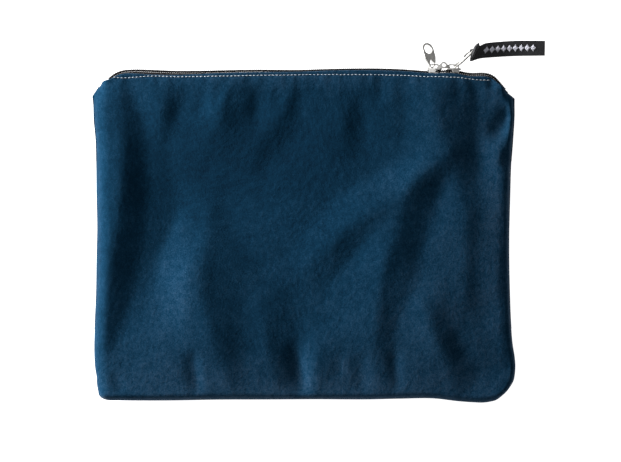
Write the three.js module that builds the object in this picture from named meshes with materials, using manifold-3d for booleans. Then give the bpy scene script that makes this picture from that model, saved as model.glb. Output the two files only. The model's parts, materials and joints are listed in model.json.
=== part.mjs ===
// A flat zippered pouch in velvet with a lining, lying on its back panel.
// X runs across the pouch, Y runs up to the zipper and Z is up. The origin is the middle of the
// resting face. Lengths are in millimetres.
import * as THREE from 'three';
import { mergeVertices } from 'three/addons/utils/BufferGeometryUtils.js';
import Module from 'manifold-3d';

const wasm = await Module();
wasm.setup();

// Driving dimensions of the bag
const bagHalfWidth = 160;
const bagBottomY = -124.8;
const lipY = 122.6;
const sidePullIn = 3.5;
const midZ = 8;
const crownHalfThickness = 8.6;
const mouthHalfThickness = 7;
const seamHalfThickness = 1.35;
const edgeFall = 30;
const mouthFall = 25;
const bottomCornerRadius = 14;
const mouthCornerRadius = 16;
const mouthCornerX = 133.5;
const mouthSlope = THREE.MathUtils.degToRad(45);
const velvetThickness = 1.2;
const liningThickness = 0.5;
const liningInset = 4;
const gap = 0.3;

// Zipper, measured from the plane that its coils stand on
const chainY = 122.3;
const chainEndX = 149;
const coilHeight = 1.9;
const coilWidth = 2.3;
const coilBore = 0.75;
const cordRadius = 0.4;
const tapeThickness = 0.5;
const tapeDepth = 9;
const chainThreadWidth = 0.8;
const chainThreadThickness = 0.25;

// Sliders, measured from the point where their two noses meet
const pairX = 105.8;
const partedBy = 1.3;
const partedLength = 5.6;
const closedFrom = 12;
const sliderNose = 1.5;
const sliderTail = 13;
const noseHalfWidth = 4.5;
const tailHalfWidth = 3.7;
const topPlate = { low: 2.35, high: 3.5 };
const bottomPlate = { low: -2.8, high: -1.7 };
const wedge = { nose: 2.2, tail: 5, halfWidth: 1.1 };
const flange = { nose: 6.5, low: 0.1, width: 0.45 };
const bailCornerX = 9.6;
const bailPivotX = 8.4;
const bailPivotY = topPlate.high + 1.05;
const bailInner = 1.2;
const bailOuter = 2.3;
const bailWidth = 1;
const bailNose = 3.4;
const lug = { ringY: 6.1, outer: 2.6, hole: 1.3, low: -1.4, high: -0.2, root: 5.2 };

// Pull tabs, measured from the pivot in the bail
const tabThickness = 1.2;
const tab = { start: -0.65, end: 18.7, halfWidth: 4.5, footRadius: 2.9, shoulder: 7.5 };
const tabEye = { start: 0.45, waist: 3.2, end: 5.8, halfWidth: 1.85, tipHalfWidth: 0.8 };
const tabHole = { start: 10.4, end: 17.3, halfWidth: 3.1 };
const leftTabAngle = 101.5;
const leftTabTwist = -45;
const rightTabAngle = 43.5;
const rightTabTwist = 18;

// Label ribbon on the right pull tab
const ribbonWidth = 11.2;
const ribbonThickness = 0.4;
const ribbonLayerGap = 0.35;
const ribbonLoopRadius = 1.7;
const ribbonLoopWidth = 2.8;
const ribbonEyeAt = 18;
const ribbonTack = { x: 139.5, length: 8.4, width: 0.8, thickness: 0.3 };

// Stitching
const topstitchInset = 2.3;
const topstitchEndX = 141;
const topstitchWidth = 0.7;
const topstitchThickness = 0.3;
const topstitchLift = 0.35;
const seamInset = 1.9;
const seamThreadRadius = 0.3;

const velvet = new THREE.MeshStandardMaterial({ color: '#173d5c', roughness: 0.9, metalness: 0 });
const liningCloth = new THREE.MeshStandardMaterial({ color: '#11161c', roughness: 0.6, metalness: 0 });
const blackTape = new THREE.MeshStandardMaterial({ color: '#141416', roughness: 0.85, metalness: 0 });
const nylon = new THREE.MeshStandardMaterial({ color: '#0d0d0f', roughness: 0.4, metalness: 0 });
const nickel = new THREE.MeshStandardMaterial({ color: '#c9c9c6', roughness: 0.25, metalness: 1 });
const ribbonCloth = new THREE.MeshStandardMaterial({ color: '#18181b', roughness: 0.7, metalness: 0 });
const paleThread = new THREE.MeshStandardMaterial({ color: '#8fa0ad', roughness: 0.7, metalness: 0 });
const navyThread = new THREE.MeshStandardMaterial({ color: '#152f45', roughness: 0.7, metalness: 0 });

const pouch = new THREE.Group();

function add(name, geometry, material, parent = pouch) {
  const mesh = new THREE.Mesh(geometry, material);
  mesh.name = name;
  parent.add(mesh);
  return mesh;
}

function smooth(t) {
  const c = THREE.MathUtils.clamp(t, 0, 1);
  return c * c * (3 - 2 * c);
}

// How a filled bag swells inwards from a seam: steep at the seam, level one fall length in
function swell(distance, fall) {
  const t = THREE.MathUtils.clamp(distance / fall, 0, 1);
  return 1 - (1 - t) ** 2.2;
}

function bodyFrom(positions, triangles) {
  const geometry = new THREE.BufferGeometry();
  geometry.setAttribute('position', new THREE.Float32BufferAttribute(positions, 3));
  let volume = 0;
  const corner = [new THREE.Vector3(), new THREE.Vector3(), new THREE.Vector3()];
  for (let i = 0; i < triangles.length; i += 3) {
    corner.forEach((c, k) => c.fromArray(positions, triangles[i + k] * 3));
    volume += corner[0].dot(corner[1].clone().cross(corner[2]));
  }
  geometry.setIndex(volume > 0 ? triangles : triangles.toReversed());
  geometry.computeVertexNormals();
  return geometry;
}

// Triangles over a flat section, wound the way that its points run
function capOf(section) {
  const faces = THREE.ShapeUtils.triangulateShape([...section], []);
  if (!THREE.ShapeUtils.isClockWise(section)) return faces;
  return faces.map(([a, b, c]) => [c, b, a]);
}

// A closed body through rings of matching points, with its two ends capped
function loft(rings, sectionOf) {
  const count = rings[0].length;
  const positions = rings.flat().flatMap((p) => p.toArray());
  const triangles = [];
  for (let r = 0; r < rings.length - 1; r += 1) {
    for (let k = 0; k < count; k += 1) {
      const a = r * count + k;
      const b = r * count + ((k + 1) % count);
      triangles.push(a, b, b + count, a, b + count, a + count);
    }
  }
  const last = (rings.length - 1) * count;
  for (const [a, b, c] of capOf(sectionOf(0))) {
    triangles.push(c, b, a);
  }
  for (const [a, b, c] of capOf(sectionOf(rings.length - 1))) {
    triangles.push(last + a, last + b, last + c);
  }
  return bodyFrom(positions, triangles);
}

// A hollow body through matching outer and inner rings, open at both ends
function pipe(outerRings, innerRings) {
  const count = outerRings[0].length;
  const positions = [...outerRings, ...innerRings].flat().flatMap((p) => p.toArray());
  const inner = outerRings.length * count;
  const last = (outerRings.length - 1) * count;
  const triangles = [];
  for (let k = 0; k < count; k += 1) {
    const n = (k + 1) % count;
    for (let r = 0; r < last; r += count) {
      triangles.push(r + k, r + n, r + n + count, r + k, r + n + count, r + k + count);
      const i = inner + r;
      triangles.push(i + k, i + n + count, i + n, i + k, i + k + count, i + n + count);
    }
    triangles.push(k, inner + n, n, k, inner + k, inner + n);
    const i = inner + last;
    triangles.push(last + k, last + n, i + n, last + k, i + n, i + k);
  }
  return bodyFrom(positions, triangles);
}

// A sheet between two height fields over the same grid of points
function sheet(columns, rows, place, top, bottom) {
  const positions = [];
  for (const height of [top, bottom]) {
    for (const v of rows) {
      for (const u of columns) {
        const { x, y } = place(u, v);
        positions.push(x, y, height(x, y));
      }
    }
  }
  const across = columns.length;
  const layer = across * rows.length;
  const triangles = [];
  for (let j = 0; j < rows.length - 1; j += 1) {
    for (let i = 0; i < across - 1; i += 1) {
      const a = j * across + i;
      const c = a + across + 1;
      triangles.push(a, a + 1, c, a, c, a + across);
      triangles.push(layer + a, layer + c, layer + a + 1, layer + a, layer + a + across, layer + c);
    }
  }
  const rightmost = across - 1;
  const topmost = rows.length - 1;
  const bottomRim = columns.slice(0, -1).map((_, i) => i);
  const rightRim = rows.slice(0, -1).map((_, j) => j * across + rightmost);
  const topRim = columns.slice(0, -1).map((_, i) => topmost * across + rightmost - i);
  const leftRim = rows.slice(0, -1).map((_, j) => (topmost - j) * across);
  const rim = [...bottomRim, ...rightRim, ...topRim, ...leftRim];
  rim.forEach((a, k) => {
    const b = rim[(k + 1) % rim.length];
    triangles.push(a, layer + b, b, a, layer + a, layer + b);
  });
  return bodyFrom(positions, triangles);
}

// ---- The bag's outline and thickness ----

function sideX(y) {
  return bagHalfWidth - sidePullIn * Math.cos((Math.PI / 2) * (y / Math.abs(bagBottomY)));
}

// Half the bag's width at a height, for an outline drawn a distance inside the bag's own
function halfWidthAt(y, inset = 0) {
  const side = sideX(y) - inset;
  const cornerTop = lipY - mouthCornerRadius;
  const mouthRadius = mouthCornerRadius - inset;
  const tangentY = cornerTop + mouthRadius * Math.cos(mouthSlope);
  const tangentX = mouthCornerX + mouthRadius * Math.sin(mouthSlope);
  let mouth = tangentX + (tangentY - y) / Math.tan(mouthSlope);
  if (y > tangentY) {
    mouth = mouthCornerX + Math.sqrt(Math.max(mouthRadius ** 2 - (y - cornerTop) ** 2, 0));
  }
  const cornerBottom = bagBottomY + bottomCornerRadius;
  let bottom = side;
  if (y < cornerBottom) {
    const radius = bottomCornerRadius - inset;
    bottom = side - radius + Math.sqrt(Math.max(radius ** 2 - (cornerBottom - y) ** 2, 0));
  }
  return Math.min(side, mouth, bottom);
}

// Distance in from the mouth's edge, along its level top and its two sloping ends
function insideMouth(x, y) {
  const tangentX = mouthCornerX + mouthCornerRadius * Math.sin(mouthSlope);
  const tangentY = lipY - mouthCornerRadius * (1 - Math.cos(mouthSlope));
  const across = (tangentX - Math.abs(x)) * Math.sin(mouthSlope);
  const down = (tangentY - y) * Math.cos(mouthSlope);
  return Math.max(Math.min(lipY - y, across + down), 0);
}

function halfThickness(x, y) {
  const range = crownHalfThickness - seamHalfThickness;
  const atMouth = (mouthHalfThickness - seamHalfThickness) / range;
  const fromMouth = Math.min(insideMouth(x, y) / mouthFall, 1);
  const open = atMouth + (1 - atMouth) * Math.sin((Math.PI / 2) * fromMouth);
  const side = swell(sideX(y) - Math.abs(x), edgeFall);
  const bottom = swell(y - bagBottomY, edgeFall);
  return seamHalfThickness + range * side * bottom * open;
}

// Surfaces a distance inside the velvet's outer face. The back panel lies flat on the surface.
function frontZ(depth) {
  return (x, y) => midZ + Math.max(halfThickness(x, y) - depth, gap / 2);
}

function backZ(depth) {
  const outer = (x, y) => Math.max(midZ - halfThickness(x, y), 0);
  return (x, y) => Math.min(outer(x, y) + depth, midZ - gap / 2);
}

// Grid lines, as distances in from a seam or from the mouth. The linings take a coarser grid.
const fineGrid = { edge: [0, 1.5, 4, 8, 13, 19, 25, 31], mouth: [0, 0.5, 1.6, 3.4, 6, 10, 15, 20, 26] };
const coarseGrid = { edge: [0, 4, 9, 15, 22, 28], mouth: [0, 1, 3, 7, 12, 18, 25] };

function columnsFor(grid, middle) {
  const right = grid.edge.map((d) => 1 - d / bagHalfWidth);
  const inner = [];
  for (let i = 1; i < middle; i += 1) {
    inner.push(right.at(-1) * (1 - (2 * i) / middle));
  }
  return [...right, ...inner, ...right.toReversed().map((u) => -u)].toReversed();
}

function rowsFor(grid, low, high, middle) {
  const bottom = grid.edge.map((d) => low + d);
  const top = grid.mouth.map((d) => high - d).toReversed();
  const step = (top[0] - bottom.at(-1)) / middle;
  const inner = [];
  for (let i = 1; i < middle; i += 1) {
    inner.push(bottom.at(-1) + i * step);
  }
  return [...bottom, ...inner, ...top];
}

function panel(grid, inset, top, bottom) {
  const columns = columnsFor(grid, 6);
  const rows = rowsFor(grid, bagBottomY + inset, lipY - inset, 6);
  const place = (u, v) => ({ x: u * halfWidthAt(v, inset), y: v });
  return sheet(columns, rows, place, top, bottom);
}

function addPanels() {
  const liningDepth = velvetThickness + gap + tapeThickness + gap;
  const inside = liningDepth + liningThickness;
  add('front_panel', panel(fineGrid, 0, frontZ(0), frontZ(velvetThickness)), velvet);
  add('back_panel', panel(fineGrid, 0, backZ(velvetThickness), backZ(0)), velvet);
  const liningOf = (top, bottom) => panel(coarseGrid, liningInset, top, bottom);
  add('front_lining', liningOf(frontZ(liningDepth), frontZ(inside)), liningCloth);
  add('back_lining', liningOf(backZ(inside), backZ(liningDepth)), liningCloth);
}

// ---- The zipper's path along the mouth ----

// Points along the mouth at a distance outside the lip's edge, left to right, with the direction
// that faces out of the bag
function mouthPath(offset, endX, topSteps) {
  const radius = mouthCornerRadius + offset;
  const centreY = lipY - mouthCornerRadius;
  const half = [];
  for (const x of topSteps) {
    half.push({ x, y: lipY + offset, angle: 0 });
  }
  for (let i = 1; i <= 4; i += 1) {
    const angle = (mouthSlope * i) / 4;
    const x = mouthCornerX + radius * Math.sin(angle);
    half.push({ x, y: centreY + radius * Math.cos(angle), angle });
  }
  const tangent = half.at(-1);
  for (let i = 1; i <= 3; i += 1) {
    const x = tangent.x + ((endX - tangent.x) * i) / 3;
    half.push({ x, y: tangent.y - (x - tangent.x) * Math.tan(mouthSlope), angle: mouthSlope });
  }
  const left = half.filter((p) => p.x > 0).map((p) => ({ x: -p.x, y: p.y, angle: -p.angle }));
  return [...left.toReversed(), ...half];
}

const topSteps = [0, 60, 93.8, 95.5, 97.5, 100.2, 111.4, 114, 116, 117.8, mouthCornerX];
const straightSteps = [20, 60, 100, mouthCornerX];

// How far the two coils are parted by the sliders' wedges
function parted(x) {
  const s = Math.abs(x - pairX);
  return partedBy * smooth((closedFrom - s) / (closedFrom - partedLength));
}

function outwards(p, a) {
  return { x: p.x + a * Math.sin(p.angle), y: p.y + a * Math.cos(p.angle) };
}

// A point in the zipper's own section: a is out of the bag, b is away from the middle
function sectionPoint(p, a, b, side) {
  const { x, y } = outwards(p, a);
  return new THREE.Vector3(x, y, midZ + side * b);
}

// One half of the coil, moulded from one filament and drawn here by its outer shape
function coil(side) {
  const path = mouthPath(chainY - lipY, chainEndX, topSteps);
  const ringOf = (scaleA, scaleB) => path.map((p) => {
    const middle = gap / 2 + coilWidth / 2 + parted(p.x);
    const ring = [];
    for (let k = 0; k < 8; k += 1) {
      const turn = ((k + 0.5) * Math.PI) / 4;
      const a = coilHeight / 2 + scaleA * Math.sin(turn);
      ring.push(sectionPoint(p, a, middle + scaleB * Math.cos(turn), side));
    }
    return ring;
  });
  const flat = 1 / Math.cos(Math.PI / 8);
  const outer = ringOf((coilHeight / 2) * flat, (coilWidth / 2) * flat);
  return pipe(outer, ringOf(coilBore, coilBore));
}

// The filler cord inside one coil
function coilCord(side) {
  const path = mouthPath(chainY - lipY, chainEndX - 0.5, topSteps);
  const section = [0, 1, 2, 3, 4, 5].map((k) => {
    const turn = (k * Math.PI) / 3;
    return new THREE.Vector2(cordRadius * Math.cos(turn), cordRadius * Math.sin(turn));
  });
  const rings = path.map((p) => {
    const middle = gap / 2 + coilWidth / 2 + parted(p.x);
    return section.map((q) => sectionPoint(p, coilHeight / 2 + q.y, middle + q.x, side));
  });
  return loft(rings, () => section);
}

// The sewing thread under the tape that holds one coil down
function coilThread(side) {
  const path = mouthPath(chainY - lipY, chainEndX - 0.5, topSteps);
  const high = -gap - tapeThickness - gap;
  const low = high - chainThreadThickness;
  const sectionAt = (p) => {
    const b = gap / 2 + coilWidth / 2 + parted(p.x);
    const half = chainThreadWidth / 2;
    return [[low, b - half], [low, b + half], [high, b + half], [high, b - half]];
  };
  const rings = path.map((p) => sectionAt(p).map(([a, b]) => sectionPoint(p, a, b, side)));
  return loft(rings, () => sectionAt(path[0]).map(([a, b]) => new THREE.Vector2(a, b)));
}

// Half of the tape: level under its coil, then turned down between the velvet and the lining
function tape(side) {
  const path = mouthPath(chainY - lipY, chainEndX, topSteps);
  const skin = velvetThickness + gap;
  const sectionAt = (p) => {
    const legAt = (a) => {
      const { x, y } = outwards(p, a);
      return halfThickness(x, y) - skin;
    };
    const inner = gap / 2 + 0.9 + parted(p.x);
    const upper = -gap;
    const lower = upper - tapeThickness;
    const turn = Math.min(legAt(upper), legAt(lower));
    const down = [-3.5, -6, -tapeDepth];
    return [
      [upper, inner],
      [upper, turn],
      ...down.map((a) => [a, legAt(a)]),
      ...down.toReversed().map((a) => [a, legAt(a) - tapeThickness]),
      [lower, turn - tapeThickness],
      [lower, inner],
    ];
  };
  const rings = path.map((p) => sectionAt(p).map(([a, b]) => sectionPoint(p, a, b, side)));
  const ends = [path[0], path.at(-1)];
  return loft(rings, (r) => sectionAt(ends[Math.min(r, 1)]).map(([a, b]) => new THREE.Vector2(a, b)));
}

// ---- Stitching ----

// The row of stitches along the lip, as one low strip on the velvet
function topstitch(side) {
  const path = mouthPath(-topstitchInset, topstitchEndX, straightSteps);
  const half = topstitchWidth / 2;
  const section = [[-half, 0], [half, 0], [half, 1], [-half, 1]];
  const rings = path.map((p) => section.map(([a, up]) => {
    const { x, y } = outwards(p, a);
    const b = halfThickness(x, y) + topstitchLift + up * topstitchThickness;
    return new THREE.Vector3(x, y, midZ + side * b);
  }));
  return loft(rings, () => section.map(([a, b]) => new THREE.Vector2(a, b)));
}

function tube(points, radius, sides) {
  const path = new THREE.CatmullRomCurve3(points);
  const section = new THREE.Shape();
  for (let k = 0; k < sides; k += 1) {
    const turn = (k * 2 * Math.PI) / sides;
    const corner = [radius * Math.cos(turn), radius * Math.sin(turn)];
    if (k === 0) section.moveTo(...corner);
    else section.lineTo(...corner);
  }
  const settings = { steps: points.length * 2, bevelEnabled: false, extrudePath: path };
  return new THREE.ExtrudeGeometry(section, settings);
}

// The closing seam of one side, hidden between the two panels
function sideSeam(direction) {
  const points = [];
  for (let y = -108; y <= 104; y += 26.5) {
    points.push(new THREE.Vector3(direction * (sideX(y) - seamInset), y, midZ));
  }
  return tube(points, seamThreadRadius, 6);
}

function bottomSeam() {
  const radius = bottomCornerRadius - seamInset;
  const centreY = bagBottomY + bottomCornerRadius;
  const centreX = sideX(bagBottomY) - bottomCornerRadius;
  const right = [];
  for (let i = 0; i <= 4; i += 1) {
    const turn = (Math.PI / 2) * (i / 4.6);
    const x = centreX + radius * Math.sin(turn);
    right.push(new THREE.Vector3(x, centreY - radius * Math.cos(turn), midZ));
  }
  const left = right.map((p) => new THREE.Vector3(-p.x, p.y, midZ)).toReversed();
  const middle = [-90, -30, 30, 90].map((x) => new THREE.Vector3(x, bagBottomY + seamInset, midZ));
  return tube([...left, ...middle, ...right], seamThreadRadius, 6);
}

function addStitching() {
  add('front_topstitch', topstitch(1), paleThread);
  add('back_topstitch', topstitch(-1), paleThread);
  add('left_seam_thread', sideSeam(-1), navyThread);
  add('right_seam_thread', sideSeam(1), navyThread);
  add('bottom_seam_thread', bottomSeam(), navyThread);
}

function addZipper() {
  for (const [name, side] of [['front', 1], ['back', -1]]) {
    add(`${name}_zipper_tape`, tape(side), blackTape);
    add(`${name}_coil`, coil(side), nylon);
    add(`${name}_coil_cord`, coilCord(side), blackTape);
    add(`${name}_coil_thread`, coilThread(side), blackTape);
  }
}

// ---- Sliders and pull tabs ----

function solidOf(geometry) {
  const bare = geometry.clone();
  bare.deleteAttribute('normal');
  bare.deleteAttribute('uv');
  const merged = mergeVertices(bare, 1e-4);
  return new wasm.Manifold(new wasm.Mesh({
    numProp: 3,
    vertProperties: new Float32Array(merged.attributes.position.array),
    triVerts: new Uint32Array(merged.index.array),
  }));
}

function geometryOf(solid) {
  const mesh = solid.getMesh();
  const geometry = new THREE.BufferGeometry();
  geometry.setAttribute('position', new THREE.BufferAttribute(mesh.vertProperties, 3));
  geometry.setIndex(new THREE.BufferAttribute(mesh.triVerts, 1));
  geometry.computeVertexNormals();
  return geometry;
}

// An outline in X and Y with thickness from z = low to z = high
function slab(shape, low, high, curveSegments = 8) {
  const settings = { depth: high - low, bevelEnabled: false, curveSegments };
  return new THREE.ExtrudeGeometry(shape, settings).translate(0, 0, low);
}

// An outline in X and Z, standing from y = low to y = high
function plate(shape, low, high) {
  return slab(shape, low, high).rotateX(Math.PI / 2).translate(0, low + high, 0);
}

function sliderOutline() {
  const shape = new THREE.Shape();
  const round = 1.6;
  shape.moveTo(sliderNose, -noseHalfWidth + round);
  shape.quadraticCurveTo(sliderNose, -noseHalfWidth, sliderNose + round, -noseHalfWidth);
  shape.lineTo(flange.nose, -noseHalfWidth);
  shape.lineTo(sliderTail - round, -tailHalfWidth);
  shape.quadraticCurveTo(sliderTail, -tailHalfWidth, sliderTail, -tailHalfWidth + round);
  shape.lineTo(sliderTail, tailHalfWidth - round);
  shape.quadraticCurveTo(sliderTail, tailHalfWidth, sliderTail - round, tailHalfWidth);
  shape.lineTo(flange.nose, noseHalfWidth);
  shape.lineTo(sliderNose + round, noseHalfWidth);
  shape.quadraticCurveTo(sliderNose, noseHalfWidth, sliderNose, noseHalfWidth - round);
  return shape;
}

// One side wall, from the widest place back to the tail
function flangeOutline(side) {
  const shape = new THREE.Shape();
  shape.moveTo(flange.nose, side * noseHalfWidth);
  shape.lineTo(sliderTail - 1.6, side * tailHalfWidth);
  shape.lineTo(sliderTail - 1.6, side * (tailHalfWidth - flange.width));
  shape.lineTo(flange.nose, side * (noseHalfWidth - flange.width));
  return shape;
}

function wedgeOutline() {
  const shape = new THREE.Shape();
  const middle = (wedge.nose + wedge.tail) / 2;
  shape.moveTo(wedge.nose, -wedge.halfWidth * 0.6);
  shape.lineTo(middle, -wedge.halfWidth);
  shape.lineTo(wedge.tail, 0);
  shape.lineTo(middle, wedge.halfWidth);
  shape.lineTo(wedge.nose, wedge.halfWidth * 0.6);
  return shape;
}

// The bridge that the pull tab turns on: a bar that rounds down into the tail end
function bailOutline() {
  const bar = bailOuter - bailInner;
  const base = topPlate.high - 0.2;
  const topY = bailPivotY + bailOuter;
  const shape = new THREE.Shape();
  shape.moveTo(bailNose, base);
  shape.lineTo(bailNose, topY - bar);
  shape.quadraticCurveTo(bailNose, topY, bailNose + bar, topY);
  shape.lineTo(bailCornerX, topY);
  shape.absarc(bailCornerX, bailPivotY, bailOuter, Math.PI / 2, 0, true);
  shape.lineTo(bailCornerX + bailOuter, base);
  shape.lineTo(bailCornerX + bailInner, base);
  shape.lineTo(bailCornerX + bailInner, bailPivotY);
  shape.absarc(bailCornerX, bailPivotY, bailInner, 0, Math.PI / 2, false);
  shape.lineTo(bailNose + bar, topY - bar);
  shape.lineTo(bailNose + bar, base);
  return shape;
}

// The padlock lug: an upright ear whose eye stands over the place where the noses meet
function lugOutline() {
  const shape = new THREE.Shape();
  const base = topPlate.high - 0.2;
  shape.moveTo(sliderNose + 0.6, base);
  shape.lineTo(lug.root, base);
  shape.lineTo(lug.root, base + 1.4);
  shape.lineTo(lug.outer * 0.87, lug.ringY + lug.outer * 0.5);
  shape.absarc(0, lug.ringY, lug.outer, Math.PI / 6, (Math.PI * 5) / 3, false);
  shape.holes.push(new THREE.Path().absarc(0, lug.ringY, lug.hole, 0, Math.PI * 2, true));
  return shape;
}

function sliderBody() {
  const outline = sliderOutline();
  const walls = [1, -1].map((side) => plate(flangeOutline(side), flange.low, topPlate.low + 0.2));
  const pieces = [
    plate(outline, bottomPlate.low, bottomPlate.high),
    plate(wedgeOutline(), bottomPlate.high - 0.2, topPlate.low + 0.2),
    ...walls,
    slab(bailOutline(), -bailWidth / 2, bailWidth / 2),
    slab(lugOutline(), lug.low, lug.high),
  ];
  const whole = pieces.reduce(
    (solid, piece) => solid.add(solidOf(piece)),
    solidOf(plate(outline, topPlate.low, topPlate.high)),
  );
  return geometryOf(whole);
}

// The pull tab lies along +X from its pivot, with its width along Z
function pullTab() {
  const shape = new THREE.Shape();
  const r = tab.halfWidth;
  const footX = tab.start + tab.footRadius;
  shape.absarc(footX, 0, tab.footRadius, Math.PI * 0.6, Math.PI * 1.4, false);
  shape.lineTo(tab.shoulder, -r);
  shape.lineTo(tab.end - r, -r);
  shape.absarc(tab.end - r, 0, r, -Math.PI / 2, Math.PI / 2, false);
  shape.lineTo(tab.shoulder, r);
  const eye = new THREE.Path();
  const e = tabEye.halfWidth;
  eye.moveTo(tabEye.start, -e + 0.6);
  eye.quadraticCurveTo(tabEye.start, -e, tabEye.start + 0.6, -e);
  eye.lineTo(tabEye.waist, -e);
  eye.lineTo(tabEye.end - tabEye.tipHalfWidth, -tabEye.tipHalfWidth);
  eye.absarc(tabEye.end - tabEye.tipHalfWidth, 0, tabEye.tipHalfWidth, -Math.PI / 2, Math.PI / 2, false);
  eye.lineTo(tabEye.waist, e);
  eye.lineTo(tabEye.start + 0.6, e);
  eye.quadraticCurveTo(tabEye.start, e, tabEye.start, e - 0.6);
  const hole = new THREE.Path();
  const h = tabHole.halfWidth;
  hole.absarc(tabHole.start + h, 0, h, Math.PI / 2, (Math.PI * 3) / 2, false);
  hole.absarc(tabHole.end - h, 0, h, -Math.PI / 2, Math.PI / 2, false);
  shape.holes.push(eye, hole);
  return slab(shape, -tabThickness / 2, tabThickness / 2, 6).rotateX(Math.PI / 2);
}

// A group at the pivot of one slider's pull tab, turned the way that the tab points
function tabMount(x, angle, twist) {
  const turned = new THREE.Group();
  turned.position.set(x, chainY + bailPivotY, midZ);
  turned.rotation.z = THREE.MathUtils.degToRad(angle);
  const twisted = new THREE.Group();
  twisted.rotation.x = THREE.MathUtils.degToRad(twist);
  turned.add(twisted);
  pouch.add(turned);
  return twisted;
}

function addSliders() {
  const body = sliderBody();
  const right = add('right_slider', body, nickel);
  right.position.set(pairX, chainY, midZ);
  const left = add('left_slider', body.clone(), nickel);
  left.position.set(pairX, chainY, midZ);
  left.rotation.y = Math.PI;
  const leftMount = tabMount(pairX - bailPivotX, leftTabAngle, leftTabTwist);
  add('left_pull_tab', pullTab(), nickel, leftMount);
  const rightMount = tabMount(pairX + bailPivotX, rightTabAngle, rightTabTwist);
  add('right_pull_tab', pullTab(), nickel, rightMount);
}

// ---- Label ribbon ----

// The ribbon's middle line, from the eye of the right pull tab to its free end
function ribbonLine() {
  const angle = THREE.MathUtils.degToRad(rightTabAngle);
  const eyeX = pairX + bailPivotX + ribbonEyeAt * Math.cos(angle);
  const eyeY = chainY + bailPivotY + ribbonEyeAt * Math.sin(angle);
  return new THREE.CatmullRomCurve3([
    new THREE.Vector3(eyeX, eyeY, midZ),
    new THREE.Vector3(eyeX + 2.6, eyeY + 0.1, midZ),
    new THREE.Vector3(136, 139.9, 6.6),
    new THREE.Vector3(147, 140.9, 4.3),
    new THREE.Vector3(160, 141.6, 2.6),
    new THREE.Vector3(183.3, 141.9, 1.2),
  ]);
}

// Place, width direction and facing direction at a share of the ribbon's line: upright where it
// loops through the tab, turned level over the next ten millimetres
function ribbonFrame(line, t) {
  const centre = line.getPoint(t);
  const along = line.getTangent(t);
  const level = smooth((centre.x - line.points[1].x) / 9);
  const turn = (Math.PI / 2) * level;
  const up = new THREE.Vector3(0, 0, 1);
  const sideways = new THREE.Vector3().crossVectors(up, along).normalize();
  const width = up.clone().multiplyScalar(Math.cos(turn)).addScaledVector(sideways, -Math.sin(turn));
  const face = new THREE.Vector3().crossVectors(along, width).normalize();
  const spread = ribbonLoopWidth + (ribbonWidth - ribbonLoopWidth) * level;
  return { centre, width, face, spread };
}

function ribbon(line) {
  const stations = [1, 0.85, 0.7, 0.55, 0.45, 0.38, 0.33, 0.29, 0.25, 0.21, 0.17, 0.13, 0.1, 0.07];
  const half = ribbonThickness / 2;
  const apart = (ribbonLayerGap + ribbonThickness) / 2;
  const layer = (side) => stations.map((t) => {
    const { centre, width, face, spread } = ribbonFrame(line, t);
    const open = smooth((0.25 - t) / 0.18);
    const offset = apart + (ribbonLoopRadius + half - apart) * open;
    const at = centre.addScaledVector(face, side * offset);
    return { at, width, face: face.multiplyScalar(side), spread };
  });
  const { centre, width, face, spread } = ribbonFrame(line, 0);
  const along = line.getTangent(0);
  const loop = [0, 1, 2, 3, 4, 5, 6].map((k) => {
    const turn = (k * Math.PI) / 6;
    const out = face.clone().multiplyScalar(Math.cos(turn)).addScaledVector(along, -Math.sin(turn));
    const at = centre.clone().addScaledVector(out, ribbonLoopRadius + half);
    return { at, width, face: out, spread };
  });
  const steps = [...layer(1), ...loop, ...layer(-1).toReversed()];
  const section = [[-0.5, -half], [0.5, -half], [0.5, half], [-0.5, half]];
  const rings = steps.map((s) => section.map(([w, f]) => (
    s.at.clone().addScaledVector(s.width, w * s.spread).addScaledVector(s.face, f)
  )));
  return loft(rings, () => section.map(([w, f]) => new THREE.Vector2(w, f)));
}

// The row of stitches that closes the ribbon's loop
function ribbonTackGeometry(line) {
  let t = 0;
  while (line.getPoint(t).x < ribbonTack.x) t += 0.005;
  const { centre, width, face } = ribbonFrame(line, t);
  const up = face.z > 0 ? face : face.clone().negate();
  const rise = ribbonLayerGap / 2 + ribbonThickness + gap + ribbonTack.thickness / 2;
  const along = new THREE.Vector3().crossVectors(width, up).normalize();
  const place = new THREE.Matrix4().makeBasis(width, up, along.negate());
  place.setPosition(centre.addScaledVector(up, rise));
  const box = new THREE.BoxGeometry(ribbonTack.length, ribbonTack.thickness, ribbonTack.width);
  const geometry = box.applyMatrix4(place);
  if (place.determinant() > 0) return geometry;
  geometry.setIndex([...geometry.index.array].toReversed());
  return geometry;
}

function addLabel() {
  const line = ribbonLine();
  add('label_ribbon', ribbon(line), ribbonCloth);
  add('label_stitching', ribbonTackGeometry(line), paleThread);
}

addPanels();
addZipper();
addStitching();
addSliders();
addLabel();

export default pouch;
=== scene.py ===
import json
import math

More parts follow.
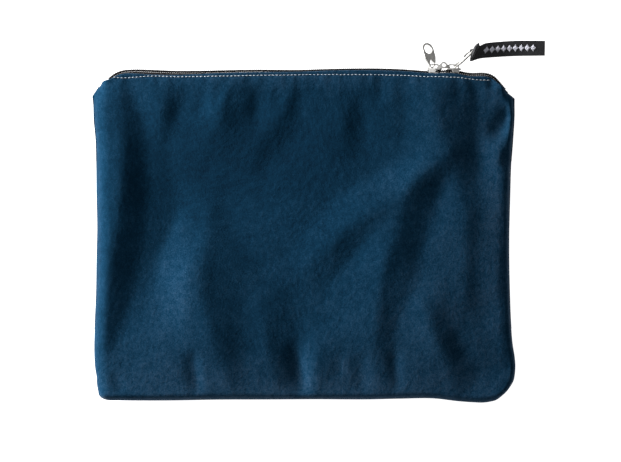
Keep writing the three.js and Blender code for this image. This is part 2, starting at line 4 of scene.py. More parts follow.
import bpy
import numpy as np
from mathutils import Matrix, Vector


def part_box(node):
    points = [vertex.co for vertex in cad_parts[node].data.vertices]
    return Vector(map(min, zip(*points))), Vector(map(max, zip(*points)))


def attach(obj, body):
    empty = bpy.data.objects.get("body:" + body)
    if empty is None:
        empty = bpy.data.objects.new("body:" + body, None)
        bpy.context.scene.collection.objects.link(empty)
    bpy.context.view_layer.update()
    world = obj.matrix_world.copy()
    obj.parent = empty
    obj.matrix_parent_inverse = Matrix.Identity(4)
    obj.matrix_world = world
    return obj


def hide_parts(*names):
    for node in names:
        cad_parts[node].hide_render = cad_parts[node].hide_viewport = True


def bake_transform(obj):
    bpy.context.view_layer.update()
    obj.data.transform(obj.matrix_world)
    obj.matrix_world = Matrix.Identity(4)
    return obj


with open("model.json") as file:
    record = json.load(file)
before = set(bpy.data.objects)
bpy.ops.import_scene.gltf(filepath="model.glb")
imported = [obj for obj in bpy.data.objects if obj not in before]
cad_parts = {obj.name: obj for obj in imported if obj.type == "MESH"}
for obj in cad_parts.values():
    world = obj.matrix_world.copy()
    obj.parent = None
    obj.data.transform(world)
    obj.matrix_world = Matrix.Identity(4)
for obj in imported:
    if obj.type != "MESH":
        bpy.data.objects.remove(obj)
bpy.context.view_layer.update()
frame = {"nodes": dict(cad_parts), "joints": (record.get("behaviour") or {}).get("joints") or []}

MM = 0.001


# ---- Places and sizes, in millimetres, from the frame ----

def box_mm(node):
    """A CAD node's lowest and highest corners."""
    return np.array(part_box(node)) / MM


# The zipper, measured out of the bag from the plane that its coils stand on
COIL_HEIGHT = 1.9
COIL_WIDTH = 2.5
COIL_PITCH = 1.5
COIL_OVERLAP = 0.35
FILAMENT_RADIUS = 0.3
FILLER_RADIUS = 0.32
PARTED_BY = 1.3
PARTED_LENGTH = 5.6
CLOSED_FROM = 12.0
TAPE_LEVEL = -0.3
TAPE_THICKNESS = 0.4
TAPE_DEPTH = 9.0
TAPE_BEND = 0.8

label_joint = next(joint for joint in frame["joints"] if joint["name"] == "label_swing")
panel_low, panel_high = box_mm("front_panel")

BOTTOM, LIP = panel_low[1], panel_high[1]
MID = (panel_low[2] + box_mm("back_panel")[1, 2]) / 2
CHAIN = box_mm("front_coil")[1, 1] - COIL_HEIGHT
PAIR_X = (box_mm("left_slider")[0, 0] + box_mm("right_slider")[1, 0]) / 2
TAB_EYE = np.array(label_joint["pos_m"][:2]) / MM
CHAIN_LEFT_X, CHAIN_RIGHT_X = -147.0, 152.0
TAPE_LEFT_X, TAPE_RIGHT_X = -151.0, 153.0

HALF_WIDTH = 160.0
SIDE_PULL = 3.5
FRONT_CROWN = 8.2
BACK_CROWN = MID
MOUTH_HALF = 6.6
EDGE_ROLL = 2.2
FRONT_FALL_LEFT = 11.0
FRONT_FALL_RIGHT = 3.4
FRONT_BOTTOM_FALL = 5.0
BACK_FALL = 32.0
MOUTH_FALL = 15.0
BOTTOM_RADIUS = 14.0
MOUTH_RADIUS = 16.0
MOUTH_TURN_X = 133.5
MOUTH_END_X = 154.0
MOUTH_SLOPE = math.radians(45)
# Where the mouth's turn ends and its slope begins
SLOPE_X = MOUTH_TURN_X + MOUTH_RADIUS * math.sin(MOUTH_SLOPE)
SLOPE_Y = LIP - MOUTH_RADIUS + MOUTH_RADIUS * math.cos(MOUTH_SLOPE)

VELVET_THICKNESS = 0.6
LIP_ROLL = 0.85
CORNER_RISE = 0.6
HEM_DEPTH = 7.0
LINING_DEPTH = 3.0
LINING_THICKNESS = 0.3
STITCH_PERIOD = 2.9
STITCH_END_X = 142.0
SEAM_INSET = 1.9
# Cloth never comes nearer to the bag's middle plane than this
LEAST_HEIGHT = 0.12


# ---- Shaping functions ----

def mix(start, end, share):
    return start + (end - start) * share


def smooth(t):
    c = np.clip(t, 0, 1)
    return c * c * (3 - 2 * c)


def swell(distance, fall):
    return 1 - (1 - np.clip(distance / fall, 0, 1)) ** 2.2


def rolled(distance, radius):
    t = 1 - np.clip(distance / radius, 0, 1)
    return np.sqrt(np.maximum(1 - t * t, 0))


def side_x(y):
    """Half the bag's width: the sides draw in toward its middle."""
    return HALF_WIDTH - SIDE_PULL * np.cos(math.pi / 2 * np.maximum(y, BOTTOM + BOTTOM_RADIUS) / abs(BOTTOM))


def inside_mouth(x, y):
    """Distance in from the mouth's edge: its level top and its two sloping ends."""
    slope = (SLOPE_X - np.abs(x)) * math.sin(MOUTH_SLOPE) + (SLOPE_Y - y) * math.cos(MOUTH_SLOPE)
    return np.maximum(np.minimum(LIP - y, slope), 0)


def inside_seam(x, y):
    """Distance in from the seam that runs down both sides and along the bottom."""
    across = side_x(y) - np.abs(x)
    up = y - BOTTOM
    short_x = np.maximum(BOTTOM_RADIUS - across, 0)
    short_y = np.maximum(BOTTOM_RADIUS - up, 0)
    corner = BOTTOM_RADIUS - np.hypot(short_x, short_y)
    return np.maximum(np.where(corner < BOTTOM_RADIUS, corner, np.minimum(across, up)), 0)


def half_thickness(x, y, crown, edge_fall, bottom_fall):
    """One half's height: a rolled edge, a crown that falls to the seams, and a mouth shut at both ends."""
    seam = inside_seam(x, y)
    mouth = inside_mouth(x, y)
    edge = EDGE_ROLL * rolled(seam, EDGE_ROLL)
    at_mouth = (MOUTH_HALF - EDGE_ROLL) / (crown - EDGE_ROLL)
    opened = mix(at_mouth, 1, np.sin(math.pi / 2 * np.clip(mouth / MOUTH_FALL, 0, 1)))
    filled = swell(side_x(y) - np.abs(x), edge_fall) * swell(y - BOTTOM, bottom_fall) * swell(seam, 4)
    closed = np.where(x < 0, smooth((CHAIN_LEFT_X - x) / 6), smooth((x - CHAIN_RIGHT_X + 2.5) / 4))
    shut = 1 - closed + closed * rolled(mouth, 9.0)
    return (edge + (crown - EDGE_ROLL) * filled * opened) * shut


# ---- Folds of the front panel: crests and valleys of known height, with the cloth drawn between them ----

def spline(points, count):
    """Points along a smooth open curve through the given ones."""
    p = np.array(points, float)
    p = np.vstack([2 * p[0] - p[1], p, 2 * p[-1] - p[-2]])
    found = []
    spans = len(p) - 3
    for t in np.linspace(0, spans, count):
        i = min(int(t), spans - 1)
        f = t - i
        a, b, c, d = p[i:i + 4]
        found.append(0.5 * (2 * b + (c - a) * f + (2 * a - 5 * b + 4 * c - d) * f * f
                            + (3 * b - a - 3 * c + d) * f ** 3))
    return np.array(found)


BROAD_FOLDS = [
    # each crest or valley: places along it, with the height of the cloth there above the unfolded panel
    [(-145, 108, 0.5), (-139, 92, 0.9), (-137, 70, 1.4), (-138, 40, 1.5), (-141, 10, 1.5),
     (-146, -20, 1.2), (-150, -50, 1), (-153, -85, 0.6)],
    [(-127, 100, -0.3), (-121, 82, -1.6), (-119, 60, -2.2), (-120, 40, -2.5), (-120, 20, -2.7),
     (-121, 0, -2.7), (-124, -20, -2.6), (-128, -40, -2.4), (-134, -62, -1.8), (-142, -86, -0.6)],
    [(-103, 72, -2.5), (-100, 45, -3.1), (-97, 20, -3.5), (-101, 0, -3.4), (-111, -18, -3.1),
     (-114, -38, -2.4), (-120, -60, -1.4)],
    [(-92, 8, -1.6), (-104, -14, -2.2), (-107, -36, -1.5), (-107, -60, -0.6)],
    [(-82, -14, 2), (-88, -32, 3.2), (-88, -50, 3.2), (-90, -70, 2.6)],
    [(-75, 30, -2.4), (-71, 16, -1.2), (-74, 0, 0.9), (-76, -20, 2.9), (-78, -40, 4), (-74, -60, 4),
     (-68, -80, 3.2), (-60, -100, 2.2), (-56, -118, 1)],
    [(-60, 24, -2.8), (-52, 4, -1.3), (-40, -14, -0.8), (-30, -28, -0.5)],
    [(-42, -46, 0.8), (-45, -64, 1.4), (-48, -80, 1.3), (-46, -98, 0.9), (-44, -114, 0.4)],
    [(-34, -42, 0.7), (-32, -60, 1.6), (-28, -80, 2.2), (-24, -96, 1.8), (-22, -112, 1)],
    [(-10, -45, -0.3), (-6, -62, -0.2), (-3, -80, -0.2), (-3, -92, -0.8), (-4, -104, -1.2), (-1, -118, -0.6)],
    [(9, -82, 1.4), (9, -96, 2), (8, -108, 1.8), (7, -120, 0.8)],
    [(112, 64, 3), (97, 51, 3.5), (82, 40, 4.2), (76, 30, 4.1), (73, 18, 3.7), (71, 8, 3.4), (68, -2, 3.4),
     (61, -20, 3.7), (57, -40, 3.6), (54, -60, 3.2), (53, -80, 2.4), (54, -100, 1.6), (55, -116, 0.8)],
    [(68, 26, 3.4), (46, 14, 2.8), (28, 1, 2.4), (12, -15, 1.4), (-2, -31, 0.4)],
    [(86, 62, 0.6), (62, 50, -1.1), (40, 39, -1.6), (24, 27, -1.6), (10, 14, -1.5), (-4, 0, -1.1),
     (-16, -16, -0.7)],
    [(64, 14, 2.8), (50, 2, 1.9), (38, -14, 0.4), (28, -28, 0.1), (14, -42, 0)],
    [(104, 40, 0.9), (101, 28, 0.5), (98, 16, 0.4), (92, 0, 0.6), (86, -20, 0.6), (84, -40, 1),
     (74, -58, 1.2)],
    [(116, 44, 2.4), (118, 30, 2.2), (122, 10, 2.4), (123, -20, 2.4), (122, -50, 2.4)],
    [(133, 96, -1.2), (132, 75, -1.4), (132, 50, -0.4), (132, 30, 1.2), (131, 0, 1.5), (131, -40, 1.5),
     (132, -80, 1), (132, -100, 0.4)],
    [(150, 70, 2), (151, 40, 1.6), (151, 0, 1.7), (151, -50, 1.8), (152, -90, 1.6)],
    [(88, -50, 2.2), (92, -60, 2.9), (96, -70, 3.4), (100, -80, 3.4), (107, -90, 2.8), (111, -102, 1.8),
     (116, -114, 1)],
    [(70, -60, 1.2), (68, -80, 0.8), (70, -100, 0.6)],
    [(106, -56, 1.3), (114, -70, 1), (120, -82, 0.8), (127, -93, 0.4), (132, -106, 0)],
    [(-109, 112, 0.3), (-107, 96, 0.9), (-110, 80, -0.4)],
    [(-91, 112, -0.4), (-91, 98, -0.7), (-98, 80, -1.4)],
    [(-60, 112, 1), (-61, 98, 1.6), (-65, 84, 0.8), (-76, 64, -1.2)],
    [(-80, 110, -0.4), (-80, 92, -0.6)],
    [(-49, 112, 0.5), (-47, 98, 0.3), (-50, 84, -0.8)],
    [(-34, 112, -0.5), (-34, 98, -0.9), (-37, 82, -1.5)],
    [(46, 112, -0.3), (46, 96, -1.1), (45, 80, -1.9), (42, 62, -2.1)],
    [(27, 104, 0), (29, 88, 0), (28, 66, -1.4)],
    [(76, 104, -0.6), (76, 86, -1), (77, 70, -0.9)],
    [(98, 110, 1), (99, 92, 1.8), (102, 76, 2.3), (108, 66, 2.8)],
    [(-14, 100, 0.4), (-28, 80, -0.2), (-44, 60, -1.2)],
    [(2, 88, -1.2), (-14, 66, -2), (-30, 48, -2.6)],
]
RELIEF_STEP = 2.0
RELIEF_HALF_X, RELIEF_HALF_Y = HALF_WIDTH + 8, LIP + 10
RELIEF_SOFTNESS = 3.0
RELIEF_FULLNESS = 1.35
FOLD_ENDS = 0.42


def softened(field, radius):
    """A grid blurred by a radius in millimetres."""
    reach = int(3 * radius / RELIEF_STEP) + 1
    weight = np.exp(-0.5 * (np.arange(-reach, reach + 1) * RELIEF_STEP / radius) ** 2)
    weight /= weight.sum()

    def blurred(line):
        return np.convolve(np.pad(line, reach, mode="edge"), weight, "valid")

    return np.apply_along_axis(blurred, 1, np.apply_along_axis(blurred, 0, field))


def drawn_cloth(lines):
    """Heights on a grid: the given ones along each line, level at the seams, and drawn tight between them."""
    field = np.zeros((3, 3))
    for step in RELIEF_STEP * np.array([16, 8, 4, 2, 1]):
        xs = np.arange(-RELIEF_HALF_X, RELIEF_HALF_X + step / 2, step)
        ys = np.arange(-RELIEF_HALF_Y, RELIEF_HALF_Y + step / 2, step)
        x, y = np.meshgrid(xs, ys)
        held = np.minimum(inside_seam(x, y), inside_mouth(x, y)) < 2.5
        value = np.zeros(x.shape)
        for line in lines:
            for px, py, height in spline(line, 200):
                spot = round((py + RELIEF_HALF_Y) / step), round((px + RELIEF_HALF_X) / step)
                held[spot] = True
                value[spot] = height
        rows = np.linspace(0, field.shape[0] - 1, len(ys)).round().astype(int)
        columns = np.linspace(0, field.shape[1] - 1, len(xs)).round().astype(int)
        field = field[rows][:, columns]
        for _ in range(120):
            padded = np.pad(field, 1, mode="edge")
            mean = (padded[:-2, 1:-1] + padded[2:, 1:-1] + padded[1:-1, :-2] + padded[1:-1, 2:]) / 4
            field = np.where(held, value, mean)
    return RELIEF_FULLNESS * softened(field, RELIEF_SOFTNESS)


def sampled(field, x, y):
    """A smooth surface through a grid of heights, read at any place."""
    u = np.clip((x + RELIEF_HALF_X) / RELIEF_STEP, 1, field.shape[1] - 3.001)
    v = np.clip((y + RELIEF_HALF_Y) / RELIEF_STEP, 1, field.shape[0] - 3.001)
    column, row = u.astype(int), v.astype(int)
    total = 0
    for i, wu in enumerate(bspline(u - column)):
        for j, wv in enumerate(bspline(v - row)):
            total = total + wu * wv * field[row + j - 1, column + i - 1]
    return total


def bspline(t):
    """Weights of four neighbours in a row, for a place a share t of the way from the second to the third."""
    return ((1 - t) ** 3 / 6, (3 * t ** 3 - 6 * t ** 2 + 4) / 6,
            (-3 * t ** 3 + 3 * t ** 2 + 3 * t + 1) / 6, t ** 3 / 6)


broad_relief = drawn_cloth(BROAD_FOLDS)

PUCKERS = [
    # path from top to bottom, height, width toward the right, width toward the left
    ([(-131, 119), (-130, 108), (-126, 92)], -1.0, 9, 7),
    ([(-89, 111), (-92, 99), (-99, 82)], -0.45, 8, 6),
    ([(-75, 112), (-76, 100), (-78, 88)], -0.6, 6, 5),
    ([(-61, 116), (-64, 106), (-66, 97)], -0.7, 4, 4),
    ([(-53, 110), (-55, 100), (-58, 88)], -0.4, 6, 5),
    ([(-32, 112), (-35, 101), (-39, 87)], -0.5, 8, 5),
    ([(-19, 113), (-19, 103), (-21, 92)], -0.7, 7, 5),
    ([(-1, 114), (-4, 100), (-8, 84)], -0.8, 9, 6),
    ([(58, 120), (58, 110), (57, 98)], -0.8, 5, 5),
    ([(43, 106), (42, 90), (39, 68)], -0.4, 10, 6),
    ([(73, 118), (74, 108), (76, 94)], -0.4, 7, 5),
    ([(129, 119), (130, 110), (132, 98)], -0.7, 5, 5),
    ([(116, 118), (117, 110), (119, 100)], -0.4, 5, 5),
    ([(160, 98), (153, 88), (148, 80), (143, 70)], -3.0, 6, 8),
    ([(141, 119), (142, 115), (142, 110)], -0.8, 3, 3),
    ([(156, 64), (155, 57), (155, 50)], -1.8, 3, 5),
    ([(-84, -88), (-83, -102), (-80, -121)], -1.4, 5, 6),
    ([(-8, -80), (-5, -94), (-2, -106), (1, -120)], -1.2, 4, 6),
    ([(43, -88), (43, -104), (43, -120)], -0.7, 6, 6),
    ([(67, -86), (69, -102), (71, -119)], -1.1, 5, 5),
    ([(26, -88), (26, -98), (26, -108)], -0.4, 5, 5),
    ([(110, -74), (117, -86), (126, -96)], -0.8, 6, 7),
    ([(-146, -104), (-141, -112), (-138, -119)], -0.7, 5, 5),
]
PILE_AND_PAINTED_LIGHT_PATCHES = [
    # middle of a patch, its reach across and along, and how much lighter the pile lies there; the patches are
    # painted light and shade where it falls, partly pile tone, and the bands along the top, bottom and right
    # edges are painted light and sheen
    (-15, 62, 80, 36, -0.22),
    (-88, 45, 30, 34, -0.14),
    (-97, -46, 18, 40, 0.28),
    (-118, -90, 40, 32, 0.14),
    (72, -68, 62, 44, 0.24),
    (64, 36, 26, 16, 0.2),
    (100, 70, 36, 40, 0.1),
    (112, -36, 26, 50, 0.16),
    (0, -122, 170, 26, 0.6),
    (0, 122, 160, 11, 0.36),
    (146, 10, 12, 90, 0.34),
    (128, -6, 36, 120, 0.2),
    (132, 96, 34, 26, 0.14),
]


def pile_and_painted_light_tone(x, y):
    """The tone of brushed pile with painted light and shade: broad soft patches are painted lighter or darker
    where light and shade fall, and bands along the edges are painted lighter as sheen.
    """
    tone = np.ones(np.shape(x))
    for at_x, at_y, across, along, lighter in PILE_AND_PAINTED_LIGHT_PATCHES:
        tone = tone + lighter * np.exp(-((x - at_x) / across) ** 2 - ((y - at_y) / along) ** 2)
    return tone


def fold(x, y, path, height, east, west):
    """A rise of the given height along a path that runs down the bag, with a width on each side of it."""
    line = spline(path, 24)
    along = np.gradient(line, axis=0)
    spacing = np.linalg.norm(along, axis=1)
    along /= spacing[:, None]
    rise = np.zeros(x.shape)
    reach = 2.4 * max(east, west)
    low, high = line.min(axis=0) - reach, line.max(axis=0) + reach
    near = (x > low[0]) & (x < high[0]) & (y > low[1]) & (y < high[1])
    points = np.stack([x[near], y[near]], axis=1)
    nearest = ((points[:, None, :] - line[None, :, :]) ** 2).sum(axis=2).argmin(axis=1)
    offset = points - line[nearest]
    direction = along[nearest]
    side = direction[:, 0] * offset[:, 1] - direction[:, 1] * offset[:, 0]
    forward = (offset * direction).sum(axis=1)
    share = (nearest + forward / spacing[nearest]) / (len(line) - 1)
    fade = smooth((share + 0.1) / FOLD_ENDS) * smooth((1.1 - share) / FOLD_ENDS)
    width = mix(west, east, smooth(0.5 + side / (east + west)))
    rise[near] = height * fade * np.exp(-(side / width) ** 2)
    return rise


def seam_puckers(x, y):
    """Small gathers that run in from the stitching and die away."""
    below = inside_mouth(x, y) - 3.0
    wave = np.sin(x / 2.1 + 1.3 * np.sin(x / 17)) + 0.6 * np.sin(x / 1.37 + 2.0 + np.sin(x / 11))
    top = 0.16 * wave * np.exp(-np.clip(below, 0, None) / 7) * (below > 0) * smooth(below / 2.5)
    up = y - BOTTOM
    wave = np.sin(x / 4.7 + 2 * np.sin(x / 23)) + 0.5 * np.sin(x / 2.9 + 1)
    low = 0.1 * wave * np.exp(-up / 9) * smooth(up / 4)
    across = side_x(y) - np.abs(x)
    wave = np.sin(y / 3.4 + 1.6 * np.sin(y / 19)) + 0.5 * np.sin(y / 2.2 + 0.4)
    side = 0.2 * wave * np.exp(-across / 7) * smooth(across / 4)
    return top + low + side


def undulation(x, y):
    """The slow unevenness of unpressed cloth."""
    wide = 0.35 * np.sin(x / 31 + y / 47 + 0.4) + 0.3 * np.sin(x / 22 - y / 29 + 2.1)
    fine = 0.14 * np.sin(x / 9.5 + y / 14 + 1.1) + 0.12 * np.sin(y / 8.2 - x / 17 + 0.6)
    return wide + fine


def folds(x, y):
    inside = np.minimum(inside_seam(x, y), inside_mouth(x, y) + 1.5)
    small = undulation(x, y)
    for entry in PUCKERS:
        small = small + fold(x, y, *entry)
    return sampled(broad_relief, x, y) + small * smooth(inside / 6) + seam_puckers(x, y)


# How far below the chain the lip lies, and how far below the pattern's lip the topstitching runs
LIP_DROPS = [(-151, 0), (-143, 1.1), (-60, 1.1), (-20, 0.6), (5, 0.3), (60, 0.4), (90, 0.5), (104, 1.1),
             (143, 1.1), (151, 0)]
STITCH_DEPTHS = [(-144, 5.0), (-130, 5.1), (-118, 3.9), (-94, 3.6), (-70, 3.5), (-45, 3.6), (-33, 3.4),
                 (-21, 3.2), (0, 2.8), (15, 3.2), (39, 3.7), (64, 3.8), (88, 3.5), (100, 3.6), (112, 4.4),
                 (124, 3.7), (136, 4.8), (142, 5.4)]


def lip_shift(x):
    """How far the row of points along the lip stands out of its place on the pattern."""
    return LIP_ROLL * smooth((np.abs(x) - 146) / 6) - stray(LIP_DROPS, x)


def stitch_line(x):
    """Where the topstitching runs: nearly level across the bag, a little below the lip."""
    return LIP - stray(STITCH_DEPTHS, x)


def stitch_groove(x, y):
    """The dip that the topstitching pulls into the velvet, deeper at each needle hole."""
    off = y - stitch_line(x)
    beads = 0.12 * np.cos(2 * math.pi * x / STITCH_PERIOD)
    return -(0.4 + beads) * np.exp(-(off / 0.9) ** 2) * (np.abs(x) < STITCH_END_X)


def front_crown(x, y):
    """The front is fullest in its middle and thins a little toward its right edge and its bottom."""
    thinning = 0.28 * smooth((x - 95) / 60) + 0.22 * smooth((-y - 70) / 52)
    return FRONT_CROWN * (1 - np.minimum(thinning, 0.36))


def front_height(x, y, depth=0.0):
    """Height of the front cloth, a depth below its outer face."""
    fall = mix(FRONT_FALL_LEFT, FRONT_FALL_RIGHT, smooth(0.5 + x / 120))
    h = half_thickness(x, y, front_crown(x, y), fall, FRONT_BOTTOM_FALL)
    shaped = h + folds(x, y) + stitch_groove(x, y)
    return MID + np.maximum(shaped - depth, LEAST_HEIGHT)


def back_height(x, y, depth=0.0):
    h = half_thickness(x, y, BACK_CROWN, BACK_FALL, BACK_FALL)
    gathers = 0.5 * seam_puckers(x, -y) * (h < BACK_CROWN - 0.6)
    shaped = np.minimum(h + gathers + stitch_groove(x, y), MID)
    return MID - np.maximum(shaped - depth, LEAST_HEIGHT)


# How far the sewn outline strays from the pattern: outward along each edge, at places along it
LEFT_EDGE = [(-124, 1.3), (-117, -1.7), (-109, -2.2), (-101, -0.6), (-90, 0.5), (-70, 0.9), (-45, 0.6),
             (-18, 0.6), (5, 0.1), (30, 0.3), (52, 0.0), (72, -0.2), (88, 0.6), (103, 0.1)]
RIGHT_EDGE = [(-124, -2.9), (-117, -2.3), (-109, 0.1), (-100, 1.3), (-92, 1.0), (-84, 0.0), (-68, -0.8),
              (-40, -1.1), (0, -1.1), (30, -0.7), (55, -0.5), (73, 0.3), (90, 0.6), (103, 0.1)]
BOTTOM_EDGE = [(-147, 1.0), (-100, 1.0), (-66, 0.4), (-30, 0.3), (10, 0.1), (50, 0.2), (72, -0.3),
               (100, -0.4), (117, 1.6), (128, 2.4), (137, 2.6), (146, 1.3), (155, -0.8)]
MOUTH_EDGE = [(-149, 1.4), (-138, 0.8), (-127, 1.1), (-112, 0.6), (-98, 0.1), (-80, 0.1), (-60, 0.5),
              (-40, 0.9), (0, 0.8), (18, 1.4), (38, 1.8), (56, 1.8), (70, 1.4), (82, 0.7), (91, 0),
              (117, 0), (124, -1.4), (135, -1.4), (143, -0.6), (150, -0.8)]
CORNER_NUDGES = [(-156, 110, -1.7, 1.9, 9), (153, 111, -0.5, -0.5, 6)]


def stray(places, at):
    """A smooth curve through values given at a few places, level beyond them."""
    where, value = np.array(places, float).T
    slope = np.gradient(value, where)
    slope[0] = slope[-1] = 0
    at = np.clip(at, where[0], where[-1])
    i = np.clip(np.searchsorted(where, at) - 1, 0, len(where) - 2)
    span = where[i + 1] - where[i]
    t = (at - where[i]) / span
    return ((2 * t ** 3 - 3 * t ** 2 + 1) * value[i] + (t ** 3 - 2 * t ** 2 + t) * span * slope[i]
            + (3 * t ** 2 - 2 * t ** 3) * value[i + 1] + (t ** 3 - t ** 2) * span * slope[i + 1])


def sewn(x, y):
    """Moves a point of the pattern to where the sewn outline has it."""
    to_side = smooth(1 - (side_x(y) - np.abs(x)) / 34)
    dx = np.where(x < 0, -stray(LEFT_EDGE, y), stray(RIGHT_EDGE, y)) * to_side
    dy = -stray(BOTTOM_EDGE, x) * smooth(1 - (y - BOTTOM) / 34)
    dy = dy + stray(MOUTH_EDGE, x) * smooth(1 - (LIP - y) / 34)
    for near_x, near_y, by_x, by_y, radius in CORNER_NUDGES:
        share = np.exp(-((x - near_x) ** 2 + (y - near_y) ** 2) / radius ** 2)
        dx = dx + by_x * share
        dy = dy + by_y * share
    return x + dx, y + dy


# ---- Meshes ----

def new_object(name, data):
    thing = bpy.data.objects.new(name, data)
    bpy.context.scene.collection.objects.link(thing)
    return thing


def mesh_object(name, shape, material):
    """A new smooth object from points in millimetres and faces."""
    points, faces = shape
    mesh = bpy.data.meshes.new(name)
    mesh.from_pydata((np.asarray(points) * MM).tolist(), [], [tuple(map(int, f)) for f in faces])
    mesh.validate()
    mesh.polygons.foreach_set("use_smooth", [True] * len(mesh.polygons))
    mesh.materials.append(material)
    mesh.update()
    return new_object(name, mesh)


def normalised(vectors):
    return vectors / np.maximum(np.linalg.norm(vectors, axis=-1, keepdims=True), 1e-12)


def sideways(line):
    """Directions to the left of a line in the bag's plane: along the mouth they point out of the bag."""
    along = normalised(np.gradient(line, axis=0))
    return np.stack([-along[:, 1], along[:, 0]], axis=1)


def lifted(flat, level):
    """Points or directions in the bag's plane, each with its level above it."""
    return np.concatenate([flat, np.broadcast_to(level, flat.shape[:-1])[..., None]], axis=-1)


def distances(line):
    """How far along a line each of its points is."""
    return np.concatenate([[0], np.cumsum(np.linalg.norm(np.diff(line, axis=0), axis=1))])


def between(at, steps, values):
    """Rows of values read at distances between the known ones."""
    return np.stack([np.interp(at, steps, column) for column in values.T], axis=1)


def thick_sheet(points, thickness, outward):
    """A closed sheet from one face's grid. outward is 1 where the grid's normal faces out, or else -1."""
    normals = normalised(np.cross(np.gradient(points, axis=1), np.gradient(points, axis=0)))
    inner = points - normals * thickness * outward
    rows, columns = points.shape[:2]
    layer = rows * columns
    index = np.arange(layer).reshape(rows, columns)
    quads = np.stack([index[:-1, :-1], index[:-1, 1:], index[1:, 1:], index[1:, :-1]], axis=-1)
    rim = np.concatenate([index[0, :-1], index[:-1, -1], index[-1, :0:-1], index[:0:-1, 0]])
    following = np.roll(rim, -1)
    sides = np.stack([rim, rim + layer, following + layer, following], axis=1)
    quads = quads.reshape(-1, 4)
    faces = np.concatenate([quads, quads[:, ::-1] + layer, sides])[:, ::outward]
    return np.concatenate([points.reshape(-1, 3), inner.reshape(-1, 3)]), faces


def resample(points, count):
    """Points along a polyline, evenly spaced or at given shares of its length."""
    steps = distances(points)
    shares = np.linspace(0, 1, count) if np.isscalar(count) else count
    return between(shares * steps[-1], steps, points)


# ---- The bag's outline, as curves in X and Y ----

def mouth_curve(offset, end_x, count):
    """Points along the mouth at a distance outside the lip's edge, and the way out of the bag."""
    radius = MOUTH_RADIUS + offset
    centre_y = LIP - MOUTH_RADIUS
    turns = np.linspace(0, MOUTH_SLOPE, 24)
    arc = np.stack([MOUTH_TURN_X + radius * np.sin(turns), centre_y + radius * np.cos(turns)], axis=1)
    end = [end_x, arc[-1, 1] - (end_x - arc[-1, 0]) * math.tan(MOUTH_SLOPE)]
    half = np.vstack([[[0, LIP + offset]], arc, [end]])
    left = half[:0:-1] * [-1, 1]
    line = resample(np.vstack([left, half]), count)
    return line, sideways(line)


def corner_arc(inset, start, end):
    """The bottom right corner, between two angles."""
    centre = [side_x(BOTTOM + BOTTOM_RADIUS) - BOTTOM_RADIUS, BOTTOM + BOTTOM_RADIUS]
    turns = np.linspace(start, end, 12)
    return centre + (BOTTOM_RADIUS - inset) * np.stack([np.cos(turns), np.sin(turns)], axis=1)


def side_curve(inset, top_x, shares):
    """The right side from the middle of the bottom corner up to the mouth's end."""
    corner = corner_arc(inset, -math.pi / 4, 0)
    shift = inset / math.sin(MOUTH_SLOPE)
    y = np.linspace(BOTTOM + BOTTOM_RADIUS, LIP, 900)
    side = side_x(y) - inset
    slope = SLOPE_X + (SLOPE_Y - y) / math.tan(MOUTH_SLOPE) - shift
    below = side < slope
    rise = np.stack([side[below], y[below]], axis=1)
    end = np.array([top_x, SLOPE_Y - (top_x + shift - SLOPE_X) * math.tan(MOUTH_SLOPE)])
    return resample(np.vstack([corner, rise[1:], [end]]), shares), end


def bottom_curve(inset, shares):
    right = corner_arc(inset, -math.pi / 2, -math.pi / 4)
    return resample(np.vstack([right[::-1] * [-1, 1], right]), shares)


def graded(length, roll, fine, wide):
    """Shares of a length, close together over a rolled edge and then evenly spaced."""
    edge = roll * (1 - np.cos(np.linspace(0, math.pi / 2, fine)))
    count = max(int((length - 2 * edge[-1]) / wide), 2)
    middle = np.linspace(edge[-1], length - edge[-1], count)
    return np.concatenate([edge[:-1], middle, length - edge[-2::-1]]) / length


def coons(bottom, top, left, right):
    """A grid between four boundary curves."""
    u = ((bottom[:, 0] - bottom[0, 0]) / (bottom[-1, 0] - bottom[0, 0]))[None, :, None]
    v = ((left[:, 1] - left[0, 1]) / (left[-1, 1] - left[0, 1]))[:, None, None]
    corners = mix(mix(bottom[0], bottom[-1], u), mix(top[0], top[-1], u), v)
    return mix(bottom[None], top[None], v) + mix(left[:, None], right[:, None], u) - corners


def cloth_grid(inset, mouth_inset, end_x, wide, mouth_rows, follow_lip=False):
    """Grid of X and Y over a panel, and the way out of the bag along its top row."""
    across = graded(2 * HALF_WIDTH, EDGE_ROLL, 5, wide)
    rise = graded(LIP - BOTTOM, EDGE_ROLL, 5, wide)
    near_mouth = 1 - mouth_rows / (LIP - BOTTOM)
    rise = np.concatenate([rise[rise < near_mouth.min() - 0.003], near_mouth[::-1]])
    bottom = bottom_curve(inset, across)
    right, end = side_curve(inset, end_x, rise)
    left = right * [-1, 1]
    top, out = mouth_curve(-mouth_inset, end[0], len(across))
    top = resample(top, across)
    out = resample(out, across)
    if follow_lip:
        top = top + out * lip_shift(top[:, 0])[:, None]
    top[0], top[-1] = left[-1], right[-1]
    return coons(bottom, top, left, right), out


def corner_rise(x, y):
    """Past the chain's left end the closed cloth stands out as far as the chain did."""
    past = smooth((-x - 144.5) / 3) * smooth((152.5 + x) / 3)
    return CORNER_RISE * past * smooth(1 - inside_mouth(x, y) / 7)


